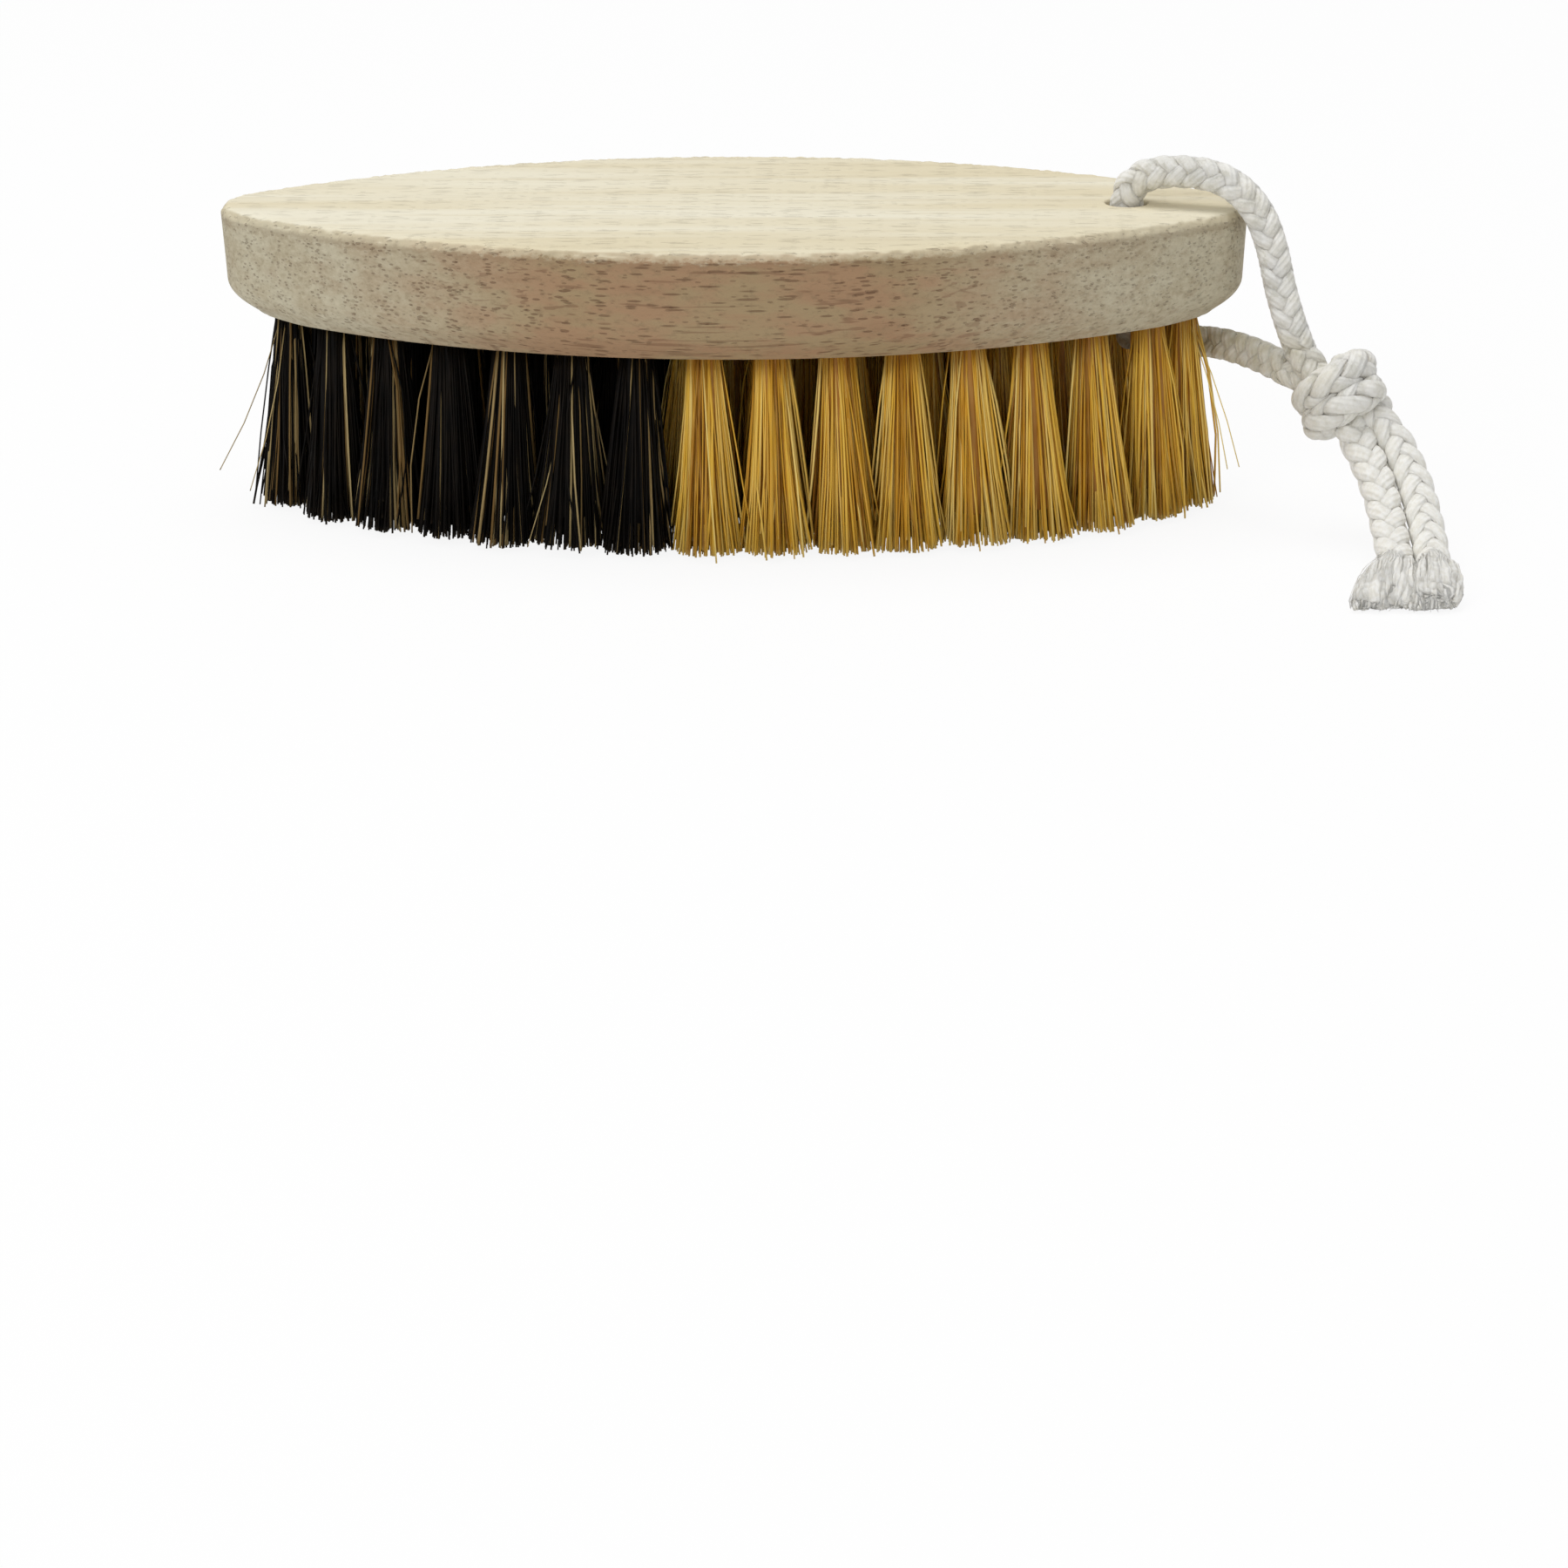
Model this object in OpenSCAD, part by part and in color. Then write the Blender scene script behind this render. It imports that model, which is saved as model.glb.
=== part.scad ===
// Vegetable brush: an oval hardwood block filled with tufts of pale and dark plant fibre, with a cord to hang it by.
// It stands on the tips of its bristles. X runs along the block towards the cord, and Z runs up.

/* [Block] */
// Length of the block
block_l = 135; // [130:1:145]
// Width of the block across its middle
block_w = 57; // [55:1:62]
// Thickness of the block
block_t = 14.5; // [13:0.5:18]
// Radius of the nose at each end, seen from above
nose_r = 9; // [8:0.5:11]
// Rounding of the worn upper edge
top_round = 1.2; // [0.6:0.2:2]
// Height of the bevel round the lower edge
bevel_h = 3; // [2:0.5:4]
// Distance that the bevel runs in under the side
bevel_in = 2.7; // [2:0.1:3.2]
// Distance that the side leans in from the top to the bevel
side_lean = 0.5; // [0:0.1:1]

/* [Bristles] */
// Length of the bristles below the block
trim = 26.5; // [22:0.5:32]
// Diameter of the hole that each tuft fills
hole_d = 4.3; // [4:0.1:4.6]
// Depth of each tuft's hole
hole_depth = 8.5; // [6:0.5:10]
// Number of tufts along the front edge
front_count = 14; // [10:1:14]
// Number of tufts along the rear edge
rear_count = 12; // [9:1:12]
// Number of tufts in each row beside the middle one
side_count = 8; // [5:1:8]
// Place along the block where the pale fibre takes over from the dark
colour_split = -7.5; // [-20:0.5:20]

/* [Cord] */
// Diameter of the cotton cord
cord_d = 4.4; // [4:0.1:4.6]
// Diameter of the hole that the cord goes through
cord_hole_d = 5.4; // [5.2:0.1:6]
// Place of the cord's hole along the block
cord_hole_x = 51.7; // [51.5:0.1:52]

/* [Hidden] */
$fn = 64;
over = 1;

// The block's outline is two long side arcs and two small nose arcs that meet without a corner.
nose_x = block_l / 2 - nose_r;
side_r = (nose_x * nose_x + block_w * block_w / 4 - nose_r * nose_r) / (block_w - 2 * nose_r);
side_c = side_r - block_w / 2;
nose_turn = atan2(nose_x, side_c);

// Each edge row bows in towards the noses. Its holes are spaced evenly along the arc.
edge_row_y = 19.8;
edge_row_r = 113.6;
front_left_x = -52.2;
front_right_x = 54.5;
rear_left_x = -55.4;
rear_right_x = 50;
side_row_y = 10;
side_row_r = 130;
side_row_x = 35;
nose_tufts = [[-58.8, 0], [58.9, -0.6]];
middle_x = [-50.2, -42.5, -29.5, -20, -10, 0, 10, 20, 29.5, 42.5];

// A tuft fans out below the block, and leans out the more the nearer it is to the block's edge.
root_gap = 0.1;
neck_l = 2;
strand_start = 1.4;
inner_strands = 3;
outer_strands = 6;
inner_base_r = 0.6;
outer_base_r = 1.5;
base_w = 0.66;
tip_w = 1;
inner_share = 0.4;
fan_r = 3.6;
nose_fan_r = 2.9;
nose_from_x = 50;
lean_x = 1.3 / 59;
lean_y = 3 / 20;
golden_turn = 137.5;

// A flat wire staple crosses each hole near its floor, and both of its ends bite into the wood.
staple_l = 5.3;
staple_t = 0.4;
staple_h = 1.8;
fold_t = 0.8;
staple_z = trim + hole_depth - fold_t - staple_h;

pale_wood = [0.87, 0.79, 0.65];
golden_fibre = [0.80, 0.62, 0.27];
dark_fibre = [0.13, 0.10, 0.08];
steel_wire = [0.62, 0.63, 0.64];
white_cotton = [0.90, 0.89, 0.86];

cord_sides = 12;
// The loop's route runs from the knot over the end of the block, down through the hole and back to the knot.
loop_route = [
    [74, -11.5, 24.3], [72.6, -10.3, 28], [71.4, -9, 32], [70.4, -7.6, 36.4], [69, -6.4, 40.2], [67, -5.3, 42.9],
    [64.6, -4.3, 44.6], [62, -3.4, 45.4], [59, -2.4, 45.6], [56.2, -1.4, 45.3], [53.6, -0.5, 44.4], [52, -0.1, 42.6],
    [51.7, 0, 40], [51.7, 0, 28], [51.8, 0, 25.4], [52.6, 0.9, 23.2], [54.6, 2.6, 21.9], [57, 4, 21.2],
    [59.6, 4.8, 21], [62.2, 4.6, 21], [64.8, 3, 21.1], [67.6, -0.6, 21.2], [70.3, -4.8, 21.1], [72.9, -9, 20.7]
];
tail_left_route = [
    [81.6, -17.6, 13.2], [82.9, -20.6, 11], [83.9, -24, 8.6], [84.5, -27.6, 6.3], [84.9, -31.4, 4.3],
    [85.1, -35.4, 2.8], [85.1, -39.5, 2.2]
];
tail_right_route = [
    [86, -17.2, 13.6], [87.4, -20, 11.4], [88.5, -23.4, 9], [89.2, -27.2, 6.5], [89.6, -31.2, 4.4],
    [89.7, -35.4, 2.8], [89.7, -39.6, 2.2]
];
knot_at = [79.3, -13, 18.6];
knot_core_r = 4.6;
knot_wrap_r = 3.6;
knot_wrap_d = 4.4;
knot_axis = [45, 20, -35];
knot_wrap_gap = 1.6;
knot_wrap_tilt = 24;
stub_l = 6;

function edge_y(x) = edge_row_y - edge_row_r + sqrt(edge_row_r * edge_row_r - x * x);
function side_y(x) = side_row_y - side_row_r + sqrt(side_row_r * side_row_r - x * x);
function edge_x(from, to, count, i) =
    edge_row_r * sin(asin(from / edge_row_r) + (asin(to / edge_row_r) - asin(from / edge_row_r)) * i / (count - 1));

front_row = [for (i = [0:front_count - 1])
    let (x = edge_x(front_left_x, front_right_x, front_count, i)) [x, -edge_y(x)]];
rear_row = [for (i = [0:rear_count - 1])
    let (x = edge_x(rear_left_x, rear_right_x, rear_count, i)) [x, edge_y(x)]];
side_rows = [for (side = [-1, 1], i = [0:side_count - 1])
    let (x = side_row_x * (2 * i / (side_count - 1) - 1)) [x, side * side_y(x)]];
middle_row = [for (x = middle_x) [x, 0]];
tufts = concat(front_row, rear_row, nose_tufts, side_rows, middle_row);
light_tufts = [for (at = tufts) if (at[0] > colour_split) at];
dark_tufts = [for (at = tufts) if (at[0] <= colour_split) at];

function numbered(name, i) = str(name, i < 9 ? "0" : "", i + 1);
function light_name(i) = numbered("tuft_light_", i);
function dark_name(i) = numbered("tuft_dark_", i);

function unit(v) = v / norm(v);
function ahead(route, i) = unit(route[min(i + 1, len(route) - 1)] - route[max(i - 1, 0)]);

// A tube's faces as triangles: its first cap, its walls and its last cap
function tube_faces(rings, sides) = concat(
    [for (j = [1:sides - 2]) [0, j, j + 1]],
    [for (i = [0:rings - 2], j = [0:sides - 1], half = [0, 1])
        let (a = i * sides + j, b = i * sides + (j + 1) % sides)
        half == 0 ? [a, a + sides, b + sides] : [a, b + sides, b]],
    [for (j = [1:sides - 2]) let (first = (rings - 1) * sides) [first, first + j + 1, first + j]]
);

// A ring of points round each point of a route, square to the way the route runs
function tube_points(route, d, across) = [
    for (i = [0:len(route) - 1])
        let (along = ahead(route, i), right = unit(cross(along, across)), up = cross(along, right))
        for (j = [0:cord_sides - 1])
            route[i] + d / 2 * (cos(360 * j / cord_sides) * right + sin(360 * j / cord_sides) * up)
];

module tube(route, d, across) {
    polyhedron(tube_points(route, d, across), tube_faces(len(route), cord_sides), convexity = 6);
}

// Section of the block from an arc's centre out to its rim, with the bevel below and the worn edge above
module rim_section(r) {
    difference() {
        polygon([
            [0, 0], [r - side_lean - bevel_in, 0], [r - side_lean, bevel_h],
            [r, block_t - top_round], [r, block_t], [0, block_t]
        ]);
        translate([r - top_round, block_t - top_round]) difference() {
            square(top_round + over);
            circle(r = top_round);
        }
    }
}

module rim_disc(x, y, r) {
    translate([x, y, trim]) rotate_extrude($fn = 360) rim_section(r);
}

// Two planes through a nose's centre and the centres of the side arcs are where the nose arc takes over.
plane_reach = 60;
plane_out = [sin(nose_turn), cos(nose_turn)] * plane_reach;

module side_zone() {
    translate([0, 0, trim - over]) linear_extrude(block_t + 2 * over) polygon([
        [nose_x, 0], [nose_x + plane_out[0], plane_out[1]], [-nose_x - plane_out[0], plane_out[1]],
        [-nose_x, 0], [-nose_x - plane_out[0], -plane_out[1]], [nose_x + plane_out[0], -plane_out[1]]
    ]);
}

module nose(end) {
    intersection() {
        rim_disc(end * nose_x, 0, nose_r);
        translate([0, 0, trim - over]) linear_extrude(block_t + 2 * over) polygon([
            [end * nose_x, 0],
            [end * (nose_x + plane_out[0]), -plane_out[1]],
            [end * (nose_x + plane_out[0]), plane_out[1]]
        ]);
    }
}

module tuft_hole(at) {
    translate([at[0], at[1], trim - over]) cylinder(d = hole_d, h = hole_depth + over, $fn = 48);
}

module staple(at) {
    translate([at[0] - staple_l / 2, at[1] - staple_t / 2, staple_z]) cube([staple_l, staple_t, staple_h]);
}

module wood_block() {
    color(pale_wood) difference() {
        union() {
            intersection() {
                rim_disc(0, -side_c, side_r);
                rim_disc(0, side_c, side_r);
                side_zone();
            }
            nose(1);
            nose(-1);
        }
        for (at = tufts) {
            tuft_hole(at);
            staple(at);
        }
        translate([cord_hole_x, 0, trim - over]) cylinder(d = cord_hole_d, h = block_t + 2 * over);
    }
}

module anchor_staples() {
    color(steel_wire) for (at = tufts) staple(at);
}

// The four corners of a strand, level at height z, with two of its sides facing the tuft's middle
function corners(at, r, turn, w, z) = [
    for (k = [[-1, -1], [1, -1], [1, 1], [-1, 1]])
        let (out = r + k[0] * w / 2, aside = k[1] * w / 2)
        [at[0] + out * cos(turn) - aside * sin(turn), at[1] + out * sin(turn) + aside * cos(turn), z]
];

module strand(at, tip, base_r, tip_r, turn) {
    polyhedron(
        concat(corners(tip, tip_r, turn, tip_w, 0), corners(at, base_r, turn, base_w, trim - strand_start)),
        tube_faces(2, 4)
    );
}

// A bundle folded over its staple, tight in its hole and fanned out below the block
module tuft(at, i) {
    tip = [at[0] * (1 + lean_x), at[1] * (1 + lean_y)];
    fan = abs(at[0]) > nose_from_x ? nose_fan_r : fan_r;
    first_turn = i * golden_turn;
    difference() {
        union() {
            translate([at[0], at[1], trim - neck_l])
                cylinder(d = hole_d - root_gap, h = neck_l + hole_depth, $fn = 48);
            for (k = [0:outer_strands - 1])
                strand(at, tip, outer_base_r, fan, first_turn + 360 * k / outer_strands);
            for (k = [0:inner_strands - 1])
                strand(at, tip, inner_base_r, fan * inner_share, first_turn + 30 + 360 * k / inner_strands);
        }
        staple(at);
    }
}

module cord_loop() {
    color(white_cotton) tube(loop_route, cord_d, [0, 1, 0]);
}

// A short straight length of cord that runs on into the knot from the end of a route
module stub(end, back) {
    way = unit(end - back);
    translate(end) rotate([0, acos(way[2]), atan2(way[1], way[0])]) cylinder(d = cord_d, h = stub_l, $fn = 32);
}

module knot_wrap(side) {
    translate([0, 0, side * knot_wrap_gap]) rotate([side * knot_wrap_tilt, 0, 0])
        rotate_extrude() translate([knot_wrap_r, 0]) circle(d = knot_wrap_d, $fn = 32);
}

module cord_knot() {
    last = len(loop_route) - 1;
    color(white_cotton) union() {
        translate(knot_at) rotate(knot_axis) {
            sphere(knot_core_r);
            knot_wrap(-1);
            knot_wrap(1);
        }
        stub(loop_route[0], loop_route[1]);
        stub(loop_route[last], loop_route[last - 1]);
        stub(tail_left_route[0], tail_left_route[1]);
        stub(tail_right_route[0], tail_right_route[1]);
    }
}

module cord_tail(route) {
    color(white_cotton) tube(route, cord_d, [1, 0, 0]);
}

wood_block();
anchor_staples();
cord_loop();
cord_knot();
cord_tail(tail_left_route);  // cord_tail_left
cord_tail(tail_right_route);  // cord_tail_right
for (i = [0:len(light_tufts) - 1])
    color(golden_fibre) tuft(light_tufts[i], i);
for (i = [0:len(dark_tufts) - 1])
    color(dark_fibre) tuft(dark_tufts[i], i);
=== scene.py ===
# %% [markdown]
# # A vegetable brush
# A small oval block of pale hardwood holds fifty-four tufts of plant fibre, pale ones on the cord's side and dark
# ones on the other. A plaited cotton cord goes through the block and ends in a knot with two frayed tails.
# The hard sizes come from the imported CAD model, which is loaded first and never moved. Blender adds what CAD leaves
# out: thousands of thin fibres, the plait of the cord, the worn edge and the grain of the wood.

# %% Load the frame
import math

import bmesh
import bpy
import numpy as np
from mathutils import Matrix, Vector, noise


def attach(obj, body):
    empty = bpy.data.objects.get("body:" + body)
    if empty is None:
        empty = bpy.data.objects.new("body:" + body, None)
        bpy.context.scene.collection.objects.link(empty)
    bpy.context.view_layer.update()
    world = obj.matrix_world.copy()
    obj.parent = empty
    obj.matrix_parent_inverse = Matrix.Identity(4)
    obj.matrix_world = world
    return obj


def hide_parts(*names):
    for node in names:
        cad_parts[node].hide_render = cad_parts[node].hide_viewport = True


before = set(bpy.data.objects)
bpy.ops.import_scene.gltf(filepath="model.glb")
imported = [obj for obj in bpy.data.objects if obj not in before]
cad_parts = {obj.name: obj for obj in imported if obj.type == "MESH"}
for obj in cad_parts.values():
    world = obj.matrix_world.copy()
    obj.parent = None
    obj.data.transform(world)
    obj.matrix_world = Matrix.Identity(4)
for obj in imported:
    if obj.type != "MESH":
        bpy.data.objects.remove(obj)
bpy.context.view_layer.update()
MM = 0.001
# Blender's vector noise starts from the clock unless it is given a seed.
noise.seed_set(3)


def put_in_scene(name, data):
    """A new object in the scene that shows data."""
    made = bpy.data.objects.new(name, data)
    bpy.context.scene.collection.objects.link(made)
    return made


# %% [markdown]
# ## Camera
# The photograph was taken with a long lens from a little above one long side. The camera stands where both long edges
# of the block, its ends and the bristles' tips land in the same places as in the photograph. A long lens flattens the
# block's oval, so the distance matters as much as the angle.

# %% Camera
CAMERA_AT = Vector((28.3, -582.6, 177.6)) * MM
CAMERA_TURN, CAMERA_DOWN, CAMERA_ROLL = math.radians(-2.18), math.radians(20.52), math.radians(-0.5)
LENS, SENSOR, NEAREST = 103.8, 36, 0.01

forward = Vector((
    math.sin(CAMERA_TURN) * math.cos(CAMERA_DOWN),
    math.cos(CAMERA_TURN) * math.cos(CAMERA_DOWN),
    -math.sin(CAMERA_DOWN),
))
right = forward.cross(Vector((0, 0, 1))).normalized()
up = right.cross(forward)
right, up = (
    math.cos(CAMERA_ROLL) * right + math.sin(CAMERA_ROLL) * up,
    math.cos(CAMERA_ROLL) * up - math.sin(CAMERA_ROLL) * right,
)
camera = put_in_scene("camera", bpy.data.cameras.new("camera"))
camera.data.sensor_width = SENSOR
camera.data.lens = LENS
camera.data.clip_start = NEAREST
camera.matrix_world = Matrix.Translation(CAMERA_AT) @ Matrix((right, up, -forward)).transposed().to_4x4()
bpy.context.scene.camera = camera
print("camera", [round(v, 3) for v in camera.matrix_world.translation])

# %% [markdown]
# ## Lines and tubes
# Cords and fibres are all thin things that follow a line. A line of points is smoothed into a curve with even steps,
# and carried along it goes a pair of directions that never twists, so that a plait can be wound round the line.
# Blender's own curve objects can sweep a round tube, but not strands that weave over and under each other, so the
# sweep is done here with arrays of numbers. Lengths are in millimetres until a piece is made.

# %% Lines and tubes
def smooth_line(points, step):
    """Points every step along the smooth curve through points, and how far along each is."""
    p = np.array(points, float)
    p = np.vstack([2 * p[0] - p[1], p, 2 * p[-1] - p[-2]])
    parts = []
    for a, b, c, d in zip(p[:-3], p[1:-2], p[2:-1], p[3:]):
        t = np.linspace(0, 1, 24, endpoint=False)[:, None]
        parts.append(
            0.5 * (2 * b + (c - a) * t + (2 * a - 5 * b + 4 * c - d) * t**2 + (3 * b - a - 3 * c + d) * t**3)
        )
    fine = np.vstack([*parts, p[-2:-1]])
    run = np.concatenate([[0], np.cumsum(np.linalg.norm(np.diff(fine, axis=0), axis=1))])
    even = np.linspace(0, run[-1], max(4, int(run[-1] / step) + 1))
    return np.stack([np.interp(even, run, fine[:, k]) for k in range(3)], 1), even


def side_ways(line, first):
    """Two directions square to the line at each of its points, carried along without twist."""
    along = np.gradient(line, axis=0)
    along /= np.linalg.norm(along, axis=1)[:, None]
    one = np.empty_like(line)
    now = np.array(first, float)
    for i, t in enumerate(along):
        now = now - t * (now @ t)
        now /= np.linalg.norm(now)
        one[i] = now
    return one, np.cross(along, one)


def wall_faces(rings, sides):
    """Four-sided faces between rings of points that close on themselves."""
    a = (np.arange(rings - 1)[:, None] * sides + np.arange(sides)[None]).ravel()
    b = (np.arange(rings - 1)[:, None] * sides + (np.arange(sides)[None] + 1) % sides).ravel()
    return np.stack([a, b, b + sides, a + sides], 1)


def tubes(line, radius, taper, sides, spin=None):
    """Thin tubes along lines of points. Returns points, triangles, place along and tube number."""
    heading = np.gradient(line, axis=1)
    heading /= np.linalg.norm(heading, axis=2)[..., None]
    helper = np.where(np.abs(heading[..., 2:3]) > 0.8, np.array([1.0, 0, 0]), np.array([0, 0, 1.0]))
    one = np.cross(heading, helper)
    one /= np.linalg.norm(one, axis=2)[..., None]
    two = np.cross(heading, one)
    n, rings = line.shape[:2]
    t = np.linspace(0, 1, rings)
    phase = np.linspace(0, 2 * np.pi, sides, endpoint=False)[None, None]
    if spin is not None:
        phase = phase + spin[:, None, None]
    r = radius[:, None] * taper(t)[None]
    ring = line[:, :, None] + r[:, :, None, None] * (
        np.cos(phase)[..., None] * one[:, :, None] + np.sin(phase)[..., None] * two[:, :, None]
    )
    each, last = rings * sides, (rings - 1) * sides
    wall = wall_faces(rings, sides)
    ends = [[0, j + 1, j] for j in range(1, sides - 1)]
    ends += [[last, last + j, last + j + 1] for j in range(1, sides - 1)]
    tri = np.vstack([wall[:, [0, 1, 2]], wall[:, [0, 2, 3]], ends])
    faces = (tri[None] + (np.arange(n) * each)[:, None, None]).reshape(-1, 3)
    return ring.reshape(-1, 3), faces, np.tile(np.repeat(t, sides), n), np.repeat(np.arange(n), each)


# %% [markdown]
# ## Pieces
# Every soft or worn part of the brush replaces CAD solids with a finer mesh. Two short functions put a mesh in the
# scene as a piece that rides on the frame, and give it the numbers that its material reads at each point. A third
# joins several meshes. Objects could also be made with Blender's operators, but those depend on what is selected.

# %% Pieces
def add_piece(name, mesh, material):
    """A mesh in one material as a piece that rides on the frame."""
    mesh.materials.append(material)
    piece = put_in_scene(name, mesh)
    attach(piece, "root")
    print(name, len(mesh.vertices), "points", len(mesh.polygons), "faces")
    return piece


def make_piece(name, points, faces, material, attributes):
    """A smooth piece from points and faces, with attributes at each point."""
    mesh = bpy.data.meshes.new(name)
    mesh.from_pydata(points, [], faces)
    mesh.polygons.foreach_set("use_smooth", np.ones(len(mesh.polygons), bool))
    for key, values in attributes.items():
        mesh.attributes.new(key, "FLOAT", "POINT").data.foreach_set("value", np.asarray(values, np.float32))
    return add_piece(name, mesh, material)


def gather(parts):
    """Several meshes as one set of points, faces and attributes."""
    points, faces, data, count = [], [], {}, 0
    for part in parts:
        points.append(part[0])
        faces += [[i + count for i in f] for f in part[1]]
        for key, values in part[2].items():
            data.setdefault(key, []).append(values)
        count += len(part[0])
    return np.vstack(points), faces, {k: np.concatenate(v) for k, v in data.items()}


# %% [markdown]
# ## Shader helpers
# A material's pattern is a sum of noises, stripes and masks. Written as Python sums it can be read on one line, while
# in the node editor it would be dozens of boxes. One small class stands for the output of a node and turns + - * into
# Math nodes. Another holds a material and makes every other kind of node.

# %% Shader helpers
def colour(r, g, b):
    """A colour as a screen shows it, from 0 to 255, in the linear numbers that Blender works with."""
    linear = [(v / 255 / 12.92) if v / 255 <= 0.04045 else ((v / 255 + 0.055) / 1.055) ** 2.4 for v in (r, g, b)]
    return (*linear, 1)


class Signal:
    """One output of a material's nodes."""

    def __init__(self, paint, socket):
        self.paint, self.socket = paint, socket

    def _math(self, operation, first, second):
        return self.paint.node("ShaderNodeMath", {"operation": operation}, {0: first, 1: second})

    def __add__(self, other):
        return self._math("ADD", self, other)

    def __radd__(self, other):
        return self._math("ADD", other, self)

    def __sub__(self, other):
        return self._math("SUBTRACT", self, other)

    def __rsub__(self, other):
        return self._math("SUBTRACT", other, self)

    def __mul__(self, other):
        return self._math("MULTIPLY", self, other)

    def __rmul__(self, other):
        return self._math("MULTIPLY", other, self)

    def sine(self):
        return self._math("SINE", self, 0)

    def size(self):
        return self._math("ABSOLUTE", self, 0)


class Paint:
    """A material, its shader and the nodes that feed it."""

    def __init__(self, name, **fixed):
        self.material = bpy.data.materials.new(name)
        self.material.use_nodes = True
        self.tree = self.material.node_tree
        self.shader = self.tree.nodes["Principled BSDF"]
        for key, value in fixed.items():
            self.shader.inputs[key.replace("_", " ")].default_value = value

    def node(self, kind, settings=None, inputs=None, out=0):
        """A new node with its settings and inputs. Returns one of its outputs."""
        made = self.tree.nodes.new(kind)
        for key, value in (settings or {}).items():
            setattr(made, key, value)
        for key, value in (inputs or {}).items():
            if isinstance(value, Signal):
                self.tree.links.new(value.socket, made.inputs[key])
            else:
                made.inputs[key].default_value = value
        return Signal(self, made.outputs[out])

    def drive(self, key, signal):
        self.tree.links.new(signal.socket, self.shader.inputs[key])

    def carried(self, name):
        """A number that the mesh carries at each point."""
        return self.node("ShaderNodeAttribute", {"attribute_name": name}, None, "Fac")

    def place(self, scale=(1, 1, 1), offset=(0, 0, 0)):
        """The point on the piece in metres, stretched and shifted."""
        here = self.node("ShaderNodeTexCoord", out="Object")
        return self.node("ShaderNodeVectorMath", {"operation": "MULTIPLY_ADD"}, {0: here, 1: scale, 2: offset})

    def axis(self, name):
        return self.node("ShaderNodeSeparateXYZ", None, {0: self.place()}, name)

    def noise(self, scale, detail=2.0, roughness=0.5, offset=(0, 0, 0)):
        values = {"Vector": self.place(scale, offset), "Scale": 1.0, "Detail": detail, "Roughness": roughness}
        return self.node("ShaderNodeTexNoise", {"noise_dimensions": "3D"}, values)

    def cells(self, scale, out="Distance"):
        """Distance to, or a random colour for, the nearest of many scattered points."""
        values = {"Vector": self.place(scale), "Scale": 1.0}
        return self.node("ShaderNodeTexVoronoi", {"voronoi_dimensions": "3D", "feature": "F1"}, values, out)

    def ramp(self, value, low, high, start=0.0, end=1.0):
        """A soft step from start to end as value goes from low to high."""
        values = {"Value": value, "From Min": low, "From Max": high, "To Min": start, "To Max": end}
        return self.node("ShaderNodeMapRange", {"interpolation_type": "SMOOTHSTEP"}, values)

    def mix(self, share, first, second):
        """A colour between first and second."""
        return self.node("ShaderNodeMix", {"data_type": "RGBA"}, {0: share, 6: first, 7: second}, 2)

    def bump(self, height, distance, strength=1.0):
        values = {"Height": height, "Distance": distance, "Strength": strength}
        self.drive("Normal", self.node("ShaderNodeBump", None, values))


# %% [markdown]
# ## Cotton
# The cord is soft off-white cotton: matt, with a yarn's fine twist on every strand. Down between the strands shade
# is painted in, a little yellower and darker, and deeper above the tails. Above the tails the cotton is also greyer
# and blotched, and the leg that comes out under the block is painted a darker tan, partly dust from the fibre and
# partly painted shade under the block. The yarns are drawn from numbers that the mesh carries at each point, how far
# round the strand it is and how far along, because a pattern in space would not follow the weave.

# %% Cotton
YARN_TURNS, YARN_SLANT = 9, 1400

cotton = Paint(
    "white_cotton", Roughness=0.9, Sheen_Weight=0.25, Sheen_Roughness=0.6, Specular_IOR_Level=0.2,
    Subsurface_Weight=0.35, Subsurface_Radius=(1, 1, 1), Subsurface_Scale=0.8 * MM,
)
yarn_turn = cotton.carried("round") * (2 * math.pi * YARN_TURNS) + cotton.carried("along") * YARN_SLANT
yarns = yarn_turn.sine() * 0.5 + 0.5
lint = cotton.noise((1500, 1500, 1500), 3.0)
blotches = cotton.noise((160, 160, 160), 2.0)
patch_noise = cotton.noise((560, 560, 560), 3.0, 0.7)
# Painted shade: low down between the strands the cotton is drawn darker and yellower, and more so higher up the cord.
clear_of_crease_shade = cotton.ramp(cotton.carried("rise"), 0.0, 0.9)
# Higher up the cord the cotton is drawn greyer and blotched, and its painted shade between strands is deeper.
higher_up = cotton.ramp(cotton.axis("Z"), 0.009, 0.024) * 0.75
lower_tone = cotton.mix(cotton.ramp(lint, 0.3, 0.7), colour(232, 229, 219), colour(246, 245, 240))
higher_tone = cotton.mix(cotton.ramp(blotches, 0.4, 0.6), colour(228, 225, 215), colour(218, 217, 212))
painted_crease_shade = cotton.mix(higher_up, colour(212, 206, 190), colour(146, 132, 104))
cotton_tone = cotton.mix(clear_of_crease_shade, painted_crease_shade, cotton.mix(higher_up, lower_tone, higher_tone))
cotton_tone = cotton.mix(cotton.ramp(patch_noise, 0.5, 0.64) * higher_up * 0.5, cotton_tone, colour(180, 177, 160))
cotton_tone = cotton.mix(cotton.ramp(patch_noise, 0.5, 0.38) * higher_up * 0.5, cotton_tone, colour(250, 249, 245))
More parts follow.
